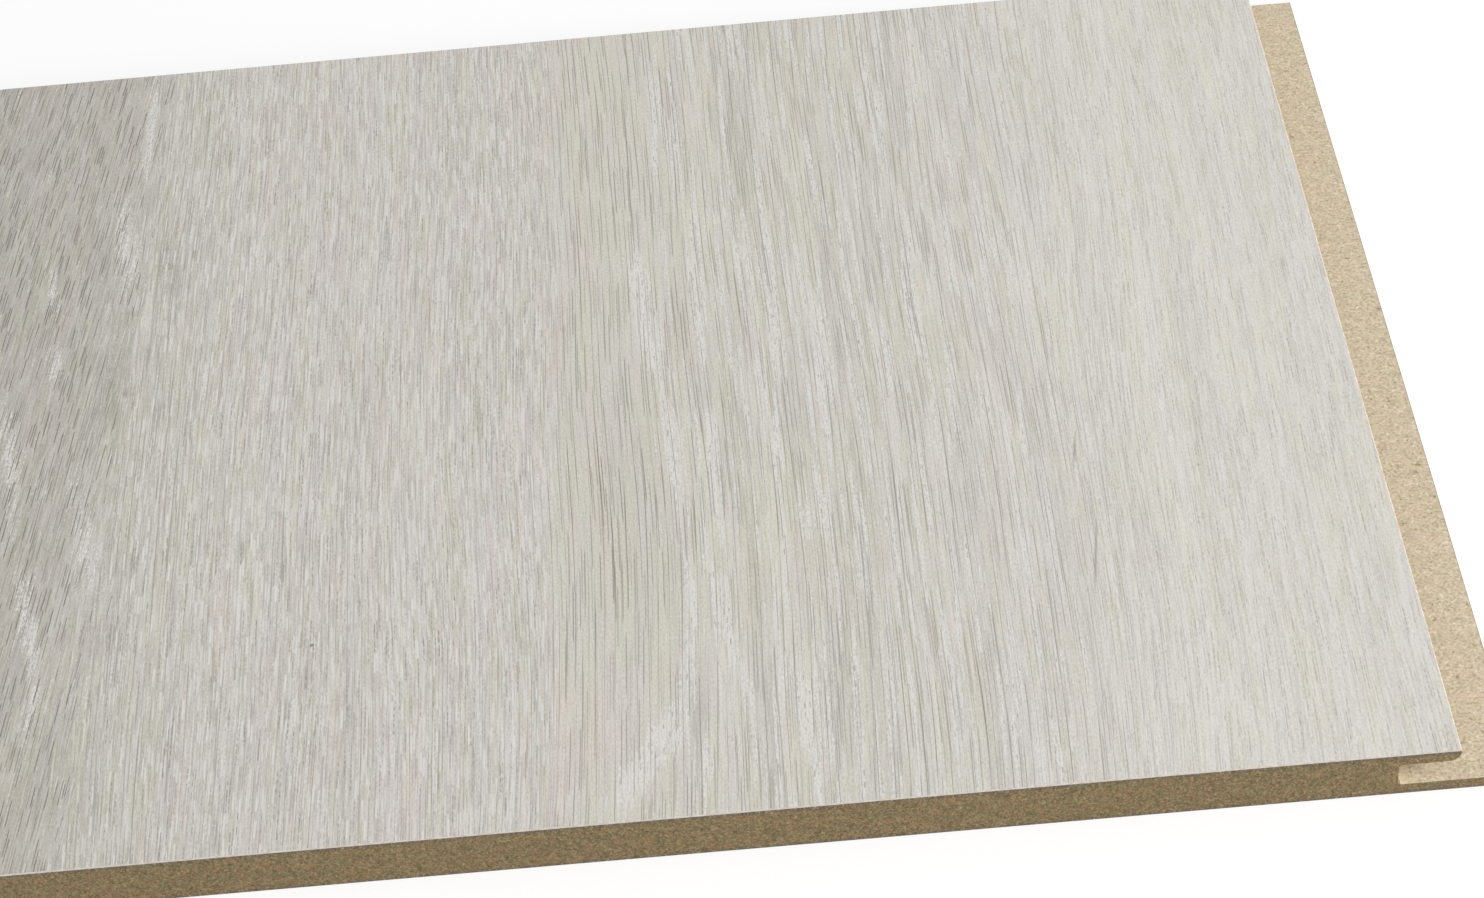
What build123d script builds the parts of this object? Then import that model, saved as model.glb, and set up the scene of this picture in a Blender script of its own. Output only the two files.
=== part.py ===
"""MDF wall panel: a short length of tongue and groove board with a wood-print film on its face.

The board is one sheet of MDF, milled along its two long edges and sawn across at its two ends.
The film is a separate thin sheet, glued flat over the whole face.

X runs across the panel, from the tongue edge to the groove edge.
Y runs along the grain and along the milled edges.
Z runs up, from the back that goes to the wall to the face that shows.
The origin is in the middle of the overall footprint, on the back.
"""

import os

from build123d import *

# Panel, in millimetres
face_width = 300.0  # film-covered face, from edge to edge
panel_length = 250.0  # along the grain, between the two sawn ends
panel_thickness = 10.0  # back to face, film included

# Film on the face
film_thickness = 0.4
film_arris_radius = 0.3  # eased top edge of the film along the two milled sides

# Groove edge: two lips with the groove between them
flange_thickness = 2.4  # lower lip, which takes the staples or screws
flange_reach = 11.0  # how far the lower lip stands out past the face
groove_height = 4.8
groove_depth = 11.0  # from the edge of the face to the back of the groove
groove_root_radius = 0.6  # left by the cutter at the back of the groove
lip_nose_radius = 2.0  # under the edge of the upper lip, so that a tongue slips in

# Tongue edge: made to go into the groove of the next panel, over its flange
joint_play = 0.2  # groove height less tongue thickness
tongue_end_gap = 0.6  # left between a tongue and the back of the groove
flange_end_gap = 0.6  # left between a flange and the end of its rebate
tongue_tip_radius = 1.2

# Places across the panel, worked out from the sizes above
tongue_reach = groove_depth - tongue_end_gap
overall_width = tongue_reach + face_width + flange_reach
tongue_tip = -overall_width / 2
face_left = tongue_tip + tongue_reach
face_right = face_left + face_width
face_middle = (face_left + face_right) / 2
flange_edge = face_right + flange_reach
groove_back = face_right - groove_depth
rebate_end = face_left + flange_reach + flange_end_gap

# Heights above the back
board_thickness = panel_thickness - film_thickness
groove_top = flange_thickness + groove_height
upper_lip_thickness = board_thickness - groove_top
tongue_underside = flange_thickness + joint_play / 2
tongue_top = groove_top - joint_play / 2

# A fillet leaves a sliver of the flat that it is cut into
FILLET_LIMIT = 0.95


def milled_section():
    """The board's section across the panel, in the XZ plane."""
    nose = min(lip_nose_radius, FILLET_LIMIT * upper_lip_thickness)
    root = min(groove_root_radius, FILLET_LIMIT * groove_height / 2)
    tip = min(tongue_tip_radius, FILLET_LIMIT * (tongue_top - tongue_underside) / 2)
    corners = [
        # place across, height, corner radius
        (rebate_end, 0, 0),
        (flange_edge, 0, 0),
        (flange_edge, flange_thickness, 0),
        (groove_back, flange_thickness, root),
        (groove_back, groove_top, root),
        (face_right, groove_top, nose),
        (face_right, board_thickness, 0),
        (face_left, board_thickness, 0),
        (face_left, tongue_top, 0),
        (tongue_tip, tongue_top, tip),
        (tongue_tip, tongue_underside, tip),
        (rebate_end, tongue_underside, 0),
    ]
    with BuildSketch(Plane.XZ) as section:
        with BuildLine():
            FilletPolyline(
                [(across, height) for across, height, _ in corners],
                radius=[radius for _, _, radius in corners],
                close=True,
            )
        make_face()
    return section.sketch


def mdf_board():
    """The milled board: one section carried along the grain, half of it each way."""
    return extrude(milled_section(), amount=panel_length / 2, both=True)


def decor_film():
    """The film, flat on the board's face, eased along the milled sides and sharp at the sawn ends."""
    film = Pos(face_middle, 0, board_thickness) * Box(
        face_width,
        panel_length,
        film_thickness,
        align=(Align.CENTER, Align.CENTER, Align.MIN),
    )
    milled_edges = film.faces().sort_by(Axis.Z)[-1].edges().filter_by(Axis.Y)
    return fillet(milled_edges, min(film_arris_radius, FILLET_LIMIT * film_thickness))


os.makedirs("parts", exist_ok=True)
export_step(mdf_board(), "parts/mdf_board.step")
export_step(decor_film(), "parts/decor_film.step")
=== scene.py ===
import math
from functools import partial

import bmesh
import bpy
from mathutils import Matrix, Vector


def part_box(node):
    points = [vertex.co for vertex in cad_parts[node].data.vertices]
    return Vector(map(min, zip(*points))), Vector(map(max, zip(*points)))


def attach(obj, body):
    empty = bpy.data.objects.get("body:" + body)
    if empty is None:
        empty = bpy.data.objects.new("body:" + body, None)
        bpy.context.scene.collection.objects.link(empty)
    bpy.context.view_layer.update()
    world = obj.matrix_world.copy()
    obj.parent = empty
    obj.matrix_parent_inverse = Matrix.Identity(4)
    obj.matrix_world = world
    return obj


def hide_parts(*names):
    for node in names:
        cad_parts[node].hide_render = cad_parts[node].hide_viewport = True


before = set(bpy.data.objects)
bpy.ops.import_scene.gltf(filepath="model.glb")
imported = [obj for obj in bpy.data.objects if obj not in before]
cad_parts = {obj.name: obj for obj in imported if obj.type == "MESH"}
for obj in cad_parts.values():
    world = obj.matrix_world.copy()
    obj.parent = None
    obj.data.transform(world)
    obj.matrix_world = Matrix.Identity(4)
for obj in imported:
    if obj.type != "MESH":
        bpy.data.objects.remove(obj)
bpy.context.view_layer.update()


# The board: one piece of MDF, wood fibre pressed and glued into a flat sheet.
# Its long edges are milled into a tongue, and into a groove over a long fixing flange.
# Its two ends are sawn straight across.

mm = 0.001
board_low, board_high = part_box("mdf_board")
film_low, film_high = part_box("decor_film")
near_end, far_end = board_low.y, board_high.y
tongue_tip, flange_edge = board_low.x, board_high.x
face_left, face_right = film_low.x, film_high.x
board_back, board_top = board_low.z, board_high.z

flange_thickness = 2.4 * mm
groove_height = 4.8 * mm
groove_depth = 11.0 * mm
groove_root_radius = 0.6 * mm
lip_nose_radius = 2.0 * mm
joint_play = 0.2 * mm
flange_end_gap = 0.6 * mm
tongue_tip_radius = 1.2 * mm
arris_radius = 0.15 * mm

flange_reach = flange_edge - face_right
groove_back = face_right - groove_depth
groove_top = flange_thickness + groove_height
rebate_end = face_left + flange_reach + flange_end_gap
tongue_underside = flange_thickness + joint_play / 2
tongue_top = groove_top - joint_play / 2

# Place across, height, radius of the corner
section_corners = [
    (rebate_end, board_back, 0),
    (flange_edge, board_back, 0),
    (flange_edge, flange_thickness, 0),
    (groove_back, flange_thickness, groove_root_radius),
    (groove_back, groove_top, groove_root_radius),
    (face_right, groove_top, lip_nose_radius),
    (face_right, board_top, 0),
    (face_left, board_top, 0),
    (face_left, tongue_top, 0),
    (tongue_tip, tongue_top, tongue_tip_radius),
    (tongue_tip, tongue_underside, tongue_tip_radius),
    (rebate_end, tongue_underside, 0),
]

shape = bmesh.new()
outline = [shape.verts.new((across, near_end, height)) for across, height, _ in section_corners]
sawn_face = shape.faces.new(outline)
carried = bmesh.ops.extrude_face_region(shape, geom=[sawn_face])
far_corners = [part for part in carried["geom"] if isinstance(part, bmesh.types.BMVert)]
bmesh.ops.translate(shape, verts=far_corners, vec=(0, far_end - near_end, 0))
bmesh.ops.recalc_face_normals(shape, faces=shape.faces)

HAIR = 1e-6  # two places closer than this are one
for across, height, radius in section_corners:
    if radius:
        milled_corner = [
            edge
            for edge in shape.edges
            if all(abs(v.co.x - across) < HAIR and abs(v.co.z - height) < HAIR for v in edge.verts)
        ]
        bmesh.ops.bevel(
            shape, geom=milled_corner, offset=radius, affect="EDGES", segments=8, profile=0.5, material=-1
        )

# The cutter and the saw leave a hair of rounding, except along the film, where both are cut together
SHARP_ANGLE = math.radians(50)
arrises = [
    edge
    for edge in shape.edges
    if edge.calc_face_angle() > SHARP_ANGLE and any(v.co.z < board_top - HAIR for v in edge.verts)
]
bmesh.ops.bevel(
    shape, geom=arrises, offset=arris_radius, affect="EDGES", segments=2, profile=0.5, material=-1
)

# Painted shade: the flange's outer arris and the groove's lower root are given the dark colour of a sawn
# end
SAWN_AND_SHADED, MILLED, SANDED = range(3)
SQUARE_ON, SLANTED = 0.9, 0.3
for face in shape.faces:
    if abs(face.normal.y) > SQUARE_ON:
        face.material_index = SAWN_AND_SHADED
    elif face.normal.z < -SQUARE_ON and face.calc_center_median().z < board_back + HAIR:
        face.material_index = SANDED
    elif min(face.normal.x, face.normal.z) > SLANTED:
        face.material_index = SAWN_AND_SHADED
    else:
        face.material_index = MILLED


def piece(name, shape):
    """Makes a shape into an object of the scene."""
    mesh = bpy.data.meshes.new(name)
    shape.to_mesh(mesh)
    shape.free()
    made = bpy.data.objects.new(name, mesh)
    bpy.context.collection.objects.link(made)
    return made


board = piece("mdf_board_milled", shape)


def linear(hex_colour):
    """An sRGB hex colour as linear RGBA."""
    parts = [int(hex_colour[i : i + 2], 16) / 255 for i in (1, 3, 5)]
    return [c / 12.92 if c <= 0.04045 else ((c + 0.055) / 1.055) ** 2.4 for c in parts] + [1.0]


def add(material, kind, sockets=None, out=None, **settings):
    """Adds a node with its settings, fills its sockets with values or outputs, and returns one output."""
    node = material.node_tree.nodes.new("ShaderNode" + kind)
    for name, value in settings.items():
        setattr(node, name, value)
    for key, value in (sockets or {}).items():
        if isinstance(key, int):
            socket = node.inputs[key]
        else:
            socket = next(s for s in node.inputs if s.enabled and s.name == key)
        if isinstance(value, bpy.types.NodeSocket):
            material.node_tree.links.new(value, socket)
        else:
            socket.default_value = value
    return node.outputs[out] if out else next((s for s in node.outputs if s.enabled), None)


def new_material(name):
    """An empty material, the function that adds to it, and the place on the piece in millimetres."""
    material = bpy.data.materials.new(name)
    material.use_nodes = True
    material.node_tree.nodes.clear()
    put = partial(add, material)
    place = put("TexCoord", out="Object")
    return material, put, put("VectorMath", {0: place, "Scale": 1 / mm}, operation="SCALE")


def mdf(name, coarse, tone, warm_tone, pale_fibre, dark_fibre, skin_tone):
    """MDF: a felt of short wood fibres in resin, a matt ground with fine pale and dark specks.

    The press leaves a denser skin on both faces of the sheet, which shows where the sheet is sawn.
    coarse sets the size of the felt, which shows finer there.
    """
    cloud, warm_patch, fibre, shive = (size * coarse for size in (2.2, 3.7, 0.6, 1.1))  # mm across
    material, put, place = new_material(name)
    clouds = put("TexNoise", {"Vector": place, "Scale": 1 / cloud, "Detail": 3.0})
    warmth = put("TexNoise", {"Vector": place, "Scale": 1 / warm_patch, "Detail": 2.0})
    fibres = put("TexNoise", {"Vector": place, "Scale": 1 / fibre, "Detail": 2.0, "Roughness": 0.6})
    shives = put("TexNoise", {"Vector": place, "Scale": 1 / shive, "Detail": 1.0})

    warm = put("MapRange", {0: warmth, 1: 0.4, 2: 0.6})
    ground = put("Mix", {"Factor": warm, "A": linear(tone), "B": linear(warm_tone)}, data_type="RGBA")
    height = put("SeparateXYZ", {0: place}, out="Z")
    half_sheet = (board_top - board_back) / mm / 2
    from_middle = put("Math", {0: height, 1: half_sheet}, operation="SUBTRACT")
    from_middle = put("Math", {0: from_middle}, operation="ABSOLUTE")
    skin_depth = 1.0  # mm
    skin = put("MapRange", {0: from_middle, 1: half_sheet - skin_depth, 2: half_sheet - skin_depth / 2})
    ground = put("Mix", {"Factor": skin, "A": ground, "B": linear(skin_tone)}, data_type="RGBA")
    blotch = put("MapRange", {0: clouds, 1: 0.3, 2: 0.7, 3: 0.87, 4: 1.12})
    ground = put("VectorMath", {0: ground, "Scale": blotch}, operation="SCALE")
    pale = put("MapRange", {0: fibres, 1: 0.51, 2: 0.77})
    ground = put("Mix", {"Factor": pale, "A": ground, "B": linear(pale_fibre)}, data_type="RGBA")
    dark = put("MapRange", {0: fibres, 1: 0.47, 2: 0.25})
    ground = put("Mix", {"Factor": dark, "A": ground, "B": linear(dark_fibre)}, data_type="RGBA")
    fleck = put("MapRange", {0: shives, 1: 0.67, 2: 0.74})
    ground = put("Mix", {"Factor": fleck, "A": ground, "B": linear(pale_fibre)}, data_type="RGBA")
    fleck = put("MapRange", {0: shives, 1: 0.31, 2: 0.24})
    ground = put("Mix", {"Factor": fleck, "A": ground, "B": linear(dark_fibre)}, data_type="RGBA")
    relief = put("Bump", {"Height": fibres, "Strength": 0.4, "Distance": 0.08 * mm})
    shader = put(
        "BsdfPrincipled", {"Base Color": ground, "Roughness": 0.85, "IOR": 1.45, "Normal": relief}
    )
    put("OutputMaterial", {"Surface": shader})
    return material


# The sawn ends' dark brown is partly the real darker tone of sawn MDF and partly painted shade on the
# ends
board.data.materials.append(mdf("mdf_sawn_and_shaded", 0.65, "#7a6d4d", "#836d4f", "#a3926d", "#524529", "#706356"))
board.data.materials.append(mdf("mdf_milled", 1.0, "#ccbfa4", "#cfbfa6", "#e6dcc7", "#a3906d", "#cdbfa4"))
board.data.materials.append(mdf("mdf_sanded", 1.0, "#bbab8b", "#bfac8d", "#cdc0a4", "#9c8a69", "#bdac8c"))
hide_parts("mdf_board")
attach(board, "root")


# The film: a thin paper sheet printed with limed oak, glued over the face before the edges are milled.
# The print shows oak grain with white lime in it and fine dark pores, and the sheet is lightly embossed.
# Its cut edge shows as a fine pale line, eased along the milled sides.

film_arris = 0.3 * mm
sheet_shape = bmesh.new()
bmesh.ops.create_cube(sheet_shape, size=1.0)
bmesh.ops.scale(sheet_shape, vec=film_high - film_low, verts=sheet_shape.verts)
bmesh.ops.translate(sheet_shape, vec=(film_high + film_low) / 2, verts=sheet_shape.verts)
eased_edges = [
    edge
    for edge in sheet_shape.edges
    if all(v.co.z > film_high.z - HAIR for v in edge.verts)
    and abs(edge.verts[0].co.x - edge.verts[1].co.x) < HAIR
]
bmesh.ops.bevel(
    sheet_shape, geom=eased_edges, offset=film_arris, affect="EDGES", segments=4, profile=0.5, material=-1
)
PRINT, CUT_EDGE = range(2)
LEVEL = 0.99
for face in sheet_shape.faces:
    face.material_index = PRINT if face.normal.z > LEVEL else CUT_EDGE

film = piece("oak_print_film", sheet_shape)

# Limed oak print: greige grain in bands, with white lime in its open streaks and thin dark pores.
# Places are in mm, across from the groove edge of the face and along from the near end.
face_width = (face_right - face_left) / mm
length = (far_end - near_end) / mm
# The tones grow darker toward the tongue side, partly in the print and partly as painted shade of the
# lamp's light falling off to the left
bands = [
    # place across, tone, soft figure, fine fibre, short pores, long pores, lime, pink,
    # lean of the grain, its swing at the near end
    (-300, "#b7b3aa", 0.8, 0.8, 0.3, 0.0, 0.2, 0.5, -0.01, 0.0),
    (-268, "#bcb7af", 0.8, 0.8, 0.3, 0.2, 0.2, 0.6, -0.01, 0.0),
    (-254, "#c1bdb4", 0.8, 0.8, 0.5, 0.6, 0.3, 0.7, -0.015, 0.0),
    (-244, "#c8c5bc", 0.7, 0.8, 0.9, 0.7, 0.4, 0.8, -0.022, 0.0),
    (-225, "#cec9c2", 0.5, 0.8, 1.0, 0.6, 0.5, 0.9, -0.022, 0.0),
    (-166, "#cfcac3", 0.5, 0.8, 1.0, 0.6, 0.5, 1.0, -0.022, 0.4),
    (-156, "#d2cec4", 0.15, 0.2, 0.2, 1.0, 0.0, 1.0, -0.028, 1.0),
    (-143, "#d2cec4", 0.2, 0.2, 0.2, 1.0, 0.2, 0.9, -0.03, 1.0),
    (-125, "#d0ccc2", 0.8, 0.45, 0.4, 0.85, 0.9, 0.6, -0.024, 0.6),
    (-95, "#d0ccc3", 0.8, 0.45, 0.4, 0.85, 0.9, 0.4, -0.012, 0.4),
    (-72, "#d4cfc8", 0.8, 0.5, 0.4, 0.8, 0.8, 0.2, -0.012, 0.6),
    (-45, "#d8d4cc", 0.6, 0.5, 0.7, 0.4, 0.6, 0.1, 0.03, 0.6),
    (0, "#d6d2ca", 0.6, 0.5, 0.7, 0.2, 0.6, 0.1, 0.018, 0.1),
]
places, tones, *amounts = zip(*bands)

oak_print, oak, place = new_material("limed_oak_print_film")
from_corner = oak("VectorMath", {0: place, 1: (face_right / mm, near_end / mm, 0)}, operation="SUBTRACT")
across = oak("SeparateXYZ", {0: from_corner}, out="X")
along = oak("SeparateXYZ", {0: from_corner}, out="Y")
sheet = oak("CombineXYZ", {0: across, 1: along})

share = oak("MapRange", {0: across, 1: -face_width, 2: 0.0})


def by_band(column):
    """One column of amounts, read across the sheet from band to band."""
    value = oak("FloatCurve", {"Value": share})
    mapping = value.node.mapping
    mapping.use_clip = False
    points = mapping.curves[0].points
    while len(points) < len(bands):
        points.new(0.5, 0.5)
    for point, across_at, amount in zip(points, places, column):
        point.location = (1 + across_at / face_width, amount)
        point.handle_type = "AUTO_CLAMPED"
    mapping.update()
    return value


figured, fibrous, short_pored, long_pored, limed, pinkish, lean, swung = map(by_band, amounts)

ground = oak("ValToRGB", {0: share})
stops = ground.node.color_ramp.elements
while len(stops) < len(bands):
    stops.new(0.5)
for stop, across_at, tone in zip(stops, places, tones):
    stop.position = 1 + across_at / face_width
    stop.color = linear(tone)


def streaks(grain, wide, long, seed, detail=1.0):
    """Noise drawn out along the grain, in streaks about so many mm wide and long."""
    drawn = oak(
        "VectorMath",
        {0: grain, 1: (1 / wide, 1 / long, 0), 2: (seed, seed, 0)},
        operation="MULTIPLY_ADD",
    )
    return oak("TexNoise", {"Vector": drawn, "Scale": 1.0, "Detail": detail}, noise_dimensions="2D")


# The grain runs nearly straight along the sheet, and some of it swings left at the near end.
# In the band at the tongue side it leans more, from a ragged edge.
wander = oak("MapRange", {0: streaks(sheet, 50, 140, 0.0), 1: 0.3, 2: 0.7, 3: -0.9, 4: 0.9})
swing_start = 95
swing_at_end = 3.4
leaning_slope = 0.08
leaning_edge = -238
ragged_depth = 26.0
swing = oak("MapRange", {0: along, 1: swing_start, 2: 0.0})
swing = oak("Math", {0: swing, 1: 2.0}, operation="POWER")
swing = oak("Math", {0: swing, 1: swung}, operation="MULTIPLY")
to_middle = oak("MapRange", {0: along, 1: 0.0, 2: length, 3: length / 2, 4: -length / 2}, clamp=False)
upright = oak("Math", {0: to_middle, 1: lean, 2: across}, operation="MULTIPLY_ADD")
upright = oak("Math", {0: swing, 1: swing_at_end, 2: upright}, operation="MULTIPLY_ADD")
upright = oak("Math", {0: upright, 1: wander}, operation="ADD")
leaning = oak("Math", {0: to_middle, 1: leaning_slope, 2: across}, operation="MULTIPLY_ADD")
teeth = streaks(sheet, 1.6, 26, 71.0)
ragged = oak("Math", {0: teeth, 1: ragged_depth, 2: across}, operation="MULTIPLY_ADD")
in_leaning_band = oak("MapRange", {0: ragged, 1: leaning_edge, 2: leaning_edge - 2})
grain_across = oak("Mix", {"Factor": in_leaning_band, "A": upright, "B": leaning})
grain = oak("CombineXYZ", {0: grain_across, 1: along})


def dashes(wide, long, share_of_cell, strength, seed):
    """Blunt dashes so many mm wide and long, each of its own strength, one to a cell."""
    cell = (2 * share_of_cell / wide, 2 * share_of_cell / long, 0)
    drawn = oak("VectorMath", {0: grain, 1: cell, 2: (seed, seed, 0)}, operation="MULTIPLY_ADD")
    away = oak(
        "TexVoronoi",
        {"Vector": drawn, "Scale": 1.0},
        out="Distance",
        voronoi_dimensions="2D",
        distance="CHEBYCHEV",
    )
    own = oak("SeparateColor", {0: away.node.outputs["Color"]})
    dash = oak("MapRange", {0: away, 1: share_of_cell, 2: share_of_cell * 0.75, 3: 0.0, 4: strength})
    return oak("Math", {0: dash, 1: own}, operation="MULTIPLY")


# The figure: soft streaks of tone and of hue, and fine fibre and grit over them
gain = 1.0
for wide, long, strength, amount in [
    # mm wide and long, strength, where it shows
    (7.0, 160, 0.30, figured),
    (2.2, 60, 0.20, figured),
    (0.40, 16, 0.48, fibrous),
    (0.36, 6.0, 0.32, fibrous),
]:
    ripple = streaks(grain, wide, long, wide + long, 2.0)
    ripple = oak("MapRange", {0: ripple, 3: -strength / 2, 4: strength / 2})
    gain = oak("Math", {0: ripple, 1: amount, 2: gain}, operation="MULTIPLY_ADD")
grit = streaks(sheet, 0.34, 0.8, 12.0)
speckle = oak("MapRange", {0: grit, 3: -0.18, 4: 0.18})
gain = oak("Math", {0: speckle, 1: gain}, operation="ADD")
yellow = oak("MapRange", {0: streaks(grain, 4.0, 50, 8.0), 1: 0.35, 2: 0.65})
bluish, yellowish = (1, 1, 1.025, 1), (1, 1, 0.963, 1)
cast = oak("Mix", {"Factor": yellow, "A": bluish, "B": yellowish}, data_type="RGBA")
ground = oak("VectorMath", {0: ground, 1: cast}, operation="MULTIPLY")
pink = oak("MapRange", {0: streaks(grain, 5.0, 40, 9.0), 1: 0.35, 2: 0.65, 3: -1.0, 4: 1.0})
pink = oak("Math", {0: pink, 1: pinkish}, operation="MULTIPLY")
rosy = (0.015, -0.01, 0.0075)
cast = oak("VectorMath", {0: pink, 1: rosy, 2: (1, 1, 1)}, operation="MULTIPLY_ADD")
ground = oak("VectorMath", {0: ground, 1: cast}, operation="MULTIPLY")
ground = oak("VectorMath", {0: ground, "Scale": gain}, operation="SCALE")


def runs_along(runs):
    """Long soft runs on the sheet, each given by its two ends, its half width and its strength."""
    total = 0.0
    for far_across, far_along, near_across, near_along, half_width, strength in runs:
        reach = Vector((far_across - near_across, far_along - near_along))
        middle = ((far_across + near_across) / 2, (far_along + near_along) / 2, 0)
        turn = (0, 0, math.atan2(-reach.x, reach.y))
        size = (half_width, reach.length / 2, 1)
        local = oak(
            "Mapping",
            {"Vector": sheet, "Location": middle, "Rotation": turn, "Scale": size},
            vector_type="TEXTURE",
        )
        core = oak("TexGradient", {"Vector": local}, out="Fac", gradient_type="SPHERICAL")
        total = oak("Math", {0: core, 1: strength, 2: total}, operation="MULTIPLY_ADD")
    return total


# Dark runs in the print beside the lime, and one broad run of painted shade toward the near end
shade_runs = [
    # far end across and along, near end across and along, half width, strength
    (-132.8, 45, -136.9, 5.5, 3.0, 0.75),
    (-248.6, 190.5, -240.2, 159.5, 4.0, 0.8),
    (-137.8, 172, -132.4, 103, 2.6, 0.6),
    (-101, 263, -90.6, 115, 4.5, 0.4),
    (-150, 133, -144.6, 37.5, 13.0, 0.25),
    (-264, 199, -259.3, 172, 4.0, 0.6),
    (-256.5, 155.5, -249.8, 115, 5.0, 0.5),
    # Painted shade: a broad, faint darkening of the tongue-side bands toward the near end, where the
    # light falls off
    (-205, 80, -212, -30, 36.0, 0.14),
    (-227, 62, -225, 26, 0.9, 0.8),
    (-211, 30, -210.3, 8, 0.8, 0.7),
    (-207.6, 52, -208.2, 22, 1.3, 0.6),
    (-123, 92, -122.5, 40, 1.1, 0.6),
    (-121, 42, -121.8, 2, 1.3, 0.6),
    (-107.5, 64, -105.8, 8, 0.9, 0.7),
]
shade = oak("MapRange", {0: runs_along(shade_runs), 1: 0.0, 2: 1.0, 3: 1.0, 4: 0.8})
ground = oak("VectorMath", {0: ground, "Scale": shade}, operation="SCALE")

# Lime: white rubbed into the open grain, in ribbons and runs made of fine strokes and specks
lime_runs = [
    # far end across and along, near end across and along, half width, strength
    (-137, 250, -138.4, 186.5, 1.8, 0.5),
    (-144.6, 176, -139.4, 117, 3.2, 1.0),
    (-139.8, 125, -136, 74, 1.6, 0.7),
    (-136.3, 76, -134.2, 42, 1.5, 0.8),
    (-134.6, 52.5, -139.1, 22.5, 1.6, 0.8),
    (-137.5, 30, -146.1, 7.5, 4.6, 0.64),
    (-143.8, 19.5, -151.5, 0, 5.0, 0.6),
    (-133.4, 24, -134.3, 2, 1.8, 0.6),
    (-129.9, 68, -127.5, 33.5, 1.9, 0.8),
    (-116.2, 41, -116, 11, 2.0, 0.9),
    (-130.7, 197, -130.3, 113, 1.7, 0.7),
    (-130, 117, -129.7, 74, 1.4, 0.9),
    (-115.7, 191.5, -115.2, 107, 1.4, 0.9),
    (-115.6, 119, -117.4, 87.5, 1.2, 0.8),
    (-106.3, 153.5, -106.5, 87.5, 1.6, 0.9),
    (-98.8, 155.5, -98.1, 117, 1.2, 0.6),
    (-88.3, 157.5, -85, 111, 1.4, 0.8),
    (-90.7, 103, -89.8, 72, 1.2, 0.6),
    (-109.8, 97.5, -108.1, 62.5, 1.2, 0.6),
    (-91.5, 255, -87.4, 181, 1.4, 0.7),
    (-105.7, 212.5, -102.1, 163.5, 1.4, 0.7),
    (-253.6, 255, -252.5, 201, 2.0, 0.6),
    (-258.3, 209.5, -250.8, 159.5, 4.0, 0.5),
    (-277.1, 143, -267.2, 85.5, 2.6, 0.4),
    (-267.8, 87.5, -258.1, 41, 2.6, 0.45),
    (-259.3, 50.5, -260.7, 26, 2.4, 0.4),
    (-258.8, 109, -249.1, 62.5, 3.2, 0.4),
    (-267.1, 155.5, -265.9, 135, 2.4, 0.4),
    (-272.9, 188.5, -265.9, 153.5, 2.2, 0.35),
]
lime = oak("MapRange", {0: runs_along(lime_runs), 1: 0.0, 2: 0.6, 3: 0.0, 4: 0.54})
ribbons = oak("MapRange", {0: streaks(grain, 1.6, 45, 53.0), 1: 0.49, 2: 0.62, 3: 0.0, 4: 0.34})
lime = oak("Math", {0: ribbons, 1: limed, 2: lime}, operation="MULTIPLY_ADD")
threads = streaks(grain, 0.6, 14, 17.0, 2.0)
lime = oak("Math", {0: threads, 1: 0.7, 2: lime}, operation="MULTIPLY_ADD")
fray = streaks(grain, 0.36, 0.9, 23.0)
lime = oak("Math", {0: fray, 1: 0.4, 2: lime}, operation="MULTIPLY_ADD")
lime = oak("MapRange", {0: lime, 1: 0.68, 2: 0.88})
specks = oak("MapRange", {0: fray, 1: 0.36, 2: 0.56, 3: 0.35, 4: 1.0})
rubbed = oak("Math", {0: lime, 1: specks}, operation="MULTIPLY")
strokes = oak("Math", {0: dashes(0.42, 5.5, 0.35, 1.0, 5.7), 1: short_pored}, operation="MULTIPLY")
rubbed = oak("Math", {0: rubbed, 1: strokes}, operation="MAXIMUM")
lime_white = linear("#e0deda")
ground = oak("Mix", {"Factor": rubbed, "A": ground, "B": lime_white}, data_type="RGBA")


def rows(spacing, strength, seed):
    """Thin lines along the grain, in nearly even rows so many mm apart, which come and go."""
    turn = oak("Math", {0: grain_across, 1: math.tau / spacing}, operation="MULTIPLY")
    uneven = streaks(grain, 2.4 * spacing, 150, seed)
    turn = oak("Math", {0: uneven, 1: 9.0, 2: turn}, operation="MULTIPLY_ADD")
    line = oak("Math", {0: turn}, operation="SINE")
    line = oak("MapRange", {0: line, 1: 0.92, 2: 0.995, 3: 0.0, 4: strength})
    seen = streaks(grain, spacing, 30, seed + 4)
    seen = oak("MapRange", {0: seen, 1: 0.38, 2: 0.66, 3: 0.1, 4: 1.0})
    return oak("Math", {0: line, 1: seen}, operation="MULTIPLY")


def laid_over(pores, kinds):
    """Pores with further kinds laid over them, each as strong as its own amount."""
    for kind, amount in kinds:
        kind = oak("Math", {0: kind, 1: amount}, operation="MULTIPLY")
        pores = oak("Math", {0: kind, 1: pores}, operation="MAXIMUM")
    return pores


# Pores: thin dark lines, in even rows in the smooth bands, short in the busy ones
# and leaning at the tongue side
pore_tone = linear("#645e55")
broken_kinds = [
    (dashes(0.28, 9, 0.25, 0.55, 2.3), short_pored),
    (dashes(0.30, 2.0, 0.28, 0.5, 4.3), lime),
]
pores = laid_over(0.0, broken_kinds)
breaks = streaks(grain, 0.45, 1.1, 31.0)
breaks = oak("MapRange", {0: breaks, 1: 0.40, 2: 0.56, 3: 0.25, 4: 1.0})
pores = oak("Math", {0: pores, 1: breaks}, operation="MULTIPLY")
whole_kinds = [
    (dashes(0.24, 7.5, 0.26, 0.8, 3.3), in_leaning_band),
    (dashes(0.24, 18, 0.25, 0.58, 6.3), long_pored),
    (rows(1.45, 0.74, 37.0), long_pored),
]
pores = laid_over(pores, whole_kinds)
ground = oak("Mix", {"Factor": pores, "A": ground, "B": pore_tone}, data_type="RGBA")

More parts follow.
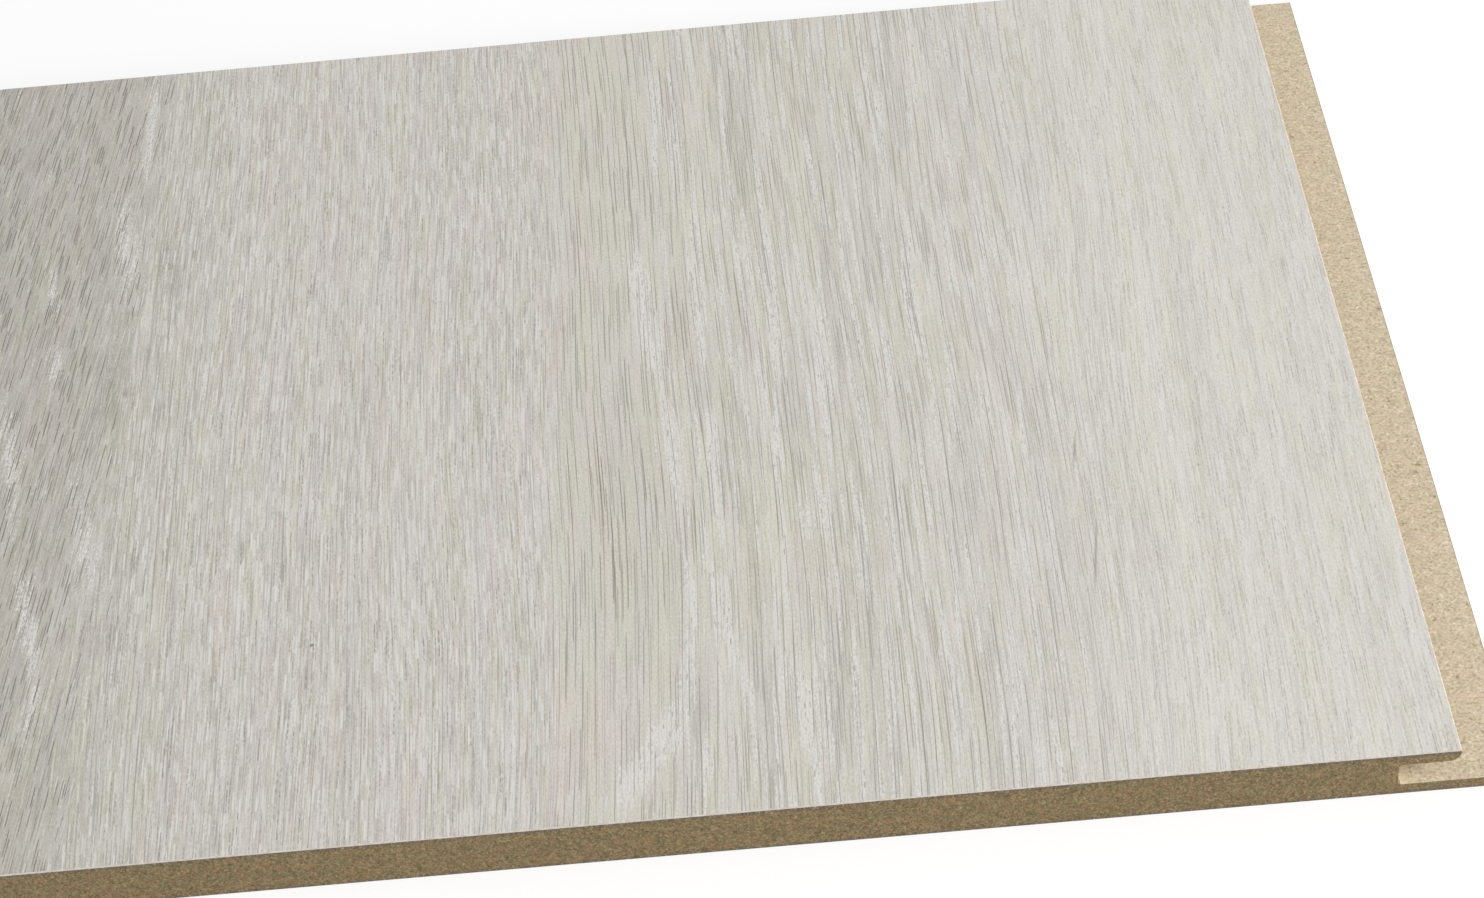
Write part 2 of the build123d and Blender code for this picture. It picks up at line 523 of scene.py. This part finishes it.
# A few fine checks and one dark speck
check_runs = [
    # far end across and along, near end across and along, half width, strength
    (-57.0, 97.5, -59.5, 81.5, 0.4, 0.8),
    (-55.4, 76, -60.2, 42, 0.4, 0.8),
    (-207.2, 53.1, -207.7, 51.9, 0.5, 1.6),
]
checks = oak("MapRange", {0: runs_along(check_runs), 1: 0.1, 2: 1.2, 3: 0.0, 4: 0.8})
ground = oak("Mix", {"Factor": checks, "A": ground, "B": pore_tone}, data_type="RGBA")

relief = oak("Bump", {"Height": grit, "Strength": 0.3, "Distance": 0.05 * mm})
shader = oak(
    "BsdfPrincipled",
    {"Base Color": ground, "Roughness": 0.7, "IOR": 1.5, "Specular IOR Level": 0.2, "Normal": relief},
)
oak("OutputMaterial", {"Surface": shader})

# The film's cut edge: the pale paper under the print, a little torn by the cutter
tear_size = 1.2
cut_edge, edge, place = new_material("film_cut_edge")
tear = edge("TexNoise", {"Vector": place, "Scale": 1 / tear_size, "Detail": 3.0})
torn = edge("MapRange", {0: tear, 1: 0.4, 2: 0.6})
colour = edge("Mix", {"Factor": torn, "A": linear("#cbc1b3"), "B": linear("#ddd5ca")}, data_type="RGBA")
shader = edge("BsdfPrincipled", {"Base Color": colour, "Roughness": 0.6, "IOR": 1.5})
edge("OutputMaterial", {"Surface": shader})

film.data.materials.append(oak_print)
film.data.materials.append(cut_edge)
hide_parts("decor_film")
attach(film, "root")


# The floor: a wide white sheet that the panel lies on, which keeps a soft shadow.
# To the camera it is lifted to white, and to the panel it is a plain pale grey.

floor_reach = 4.0
floor_drop = 0.05 * mm
lift_to_white = 0.53
floor_shape = bmesh.new()
bmesh.ops.create_grid(floor_shape, x_segments=1, y_segments=1, size=floor_reach)
bmesh.ops.translate(floor_shape, vec=(0, 0, board_back - floor_drop), verts=floor_shape.verts)
floor = piece("floor", floor_shape)


def seen_rays(put):
    """1 for a ray that the eye follows, straight or by a mirror or through glass, and 0 for the rest."""
    straight = put("LightPath", out="Is Camera Ray")
    kinds = straight.node.outputs
    mirrored = put("Math", {0: straight, 1: kinds["Is Glossy Ray"]}, operation="MAXIMUM")
    return put("Math", {0: mirrored, 1: kinds["Is Transmission Ray"]}, operation="MAXIMUM")


white_floor, lay, _ = new_material("white_floor")
paper = lay("BsdfDiffuse", {"Color": linear("#bcbcbc")})
lift = lay("Emission", {"Color": (1, 1, 1, 1), "Strength": lift_to_white})
lifted = lay("AddShader", {0: paper, 1: lift})
lay("OutputMaterial", {"Surface": lay("MixShader", {0: seen_rays(lay), 1: paper, 2: lifted})})
floor.data.materials.append(white_floor)


# Light: an even white room, and one large soft lamp to the right, in front and above.

room_light = 0.40
world = bpy.data.worlds.new("studio")
world.use_nodes = True
world.node_tree.nodes.clear()
light = partial(add, world)
room = light("Background", {"Color": (1, 1, 1, 1), "Strength": room_light})
backdrop = light("Background", {"Color": (1, 1, 1, 1), "Strength": 1.0})
light("OutputWorld", {"Surface": light("MixShader", {0: seen_rays(light), 1: room, 2: backdrop})})
bpy.context.scene.world = world

lamp_place = Vector((3.48, -2.26, 2.30))
softbox = bpy.data.lights.new("softbox", "AREA")
softbox.shape = "SQUARE"
softbox.size = 3.0
softbox.energy = 281.0
lamp = bpy.data.objects.new("softbox", softbox)
lamp_turn = (-lamp_place).to_track_quat("-Z", "Y").to_matrix().to_4x4()
lamp.matrix_world = Matrix.Translation(lamp_place) @ lamp_turn
bpy.context.collection.objects.link(lamp)


# Camera: in front of the near end and above it, looking down along the grain.
# Its frame is 1484 by 898 pixels.

photo_width = 1484
focal_length = 3471.6  # pixels
camera_place = Vector((0.0364, -0.5517, 0.4594))
camera_pan, camera_tilt, camera_roll = (math.radians(turn) for turn in (1.118, 49.456, -5.724))

lens = bpy.data.cameras.new("camera")
lens.sensor_width = 36.0
lens.lens = focal_length / photo_width * lens.sensor_width
camera = bpy.data.objects.new("camera", lens)
camera.matrix_world = (
    Matrix.Translation(camera_place)
    @ Matrix.Rotation(camera_pan, 4, "Z")
    @ Matrix.Rotation(camera_tilt, 4, "X")
    @ Matrix.Rotation(camera_roll, 4, "Z")
)
bpy.context.collection.objects.link(camera)
bpy.context.scene.camera = camera
bpy.context.scene.view_settings.view_transform = "Standard"
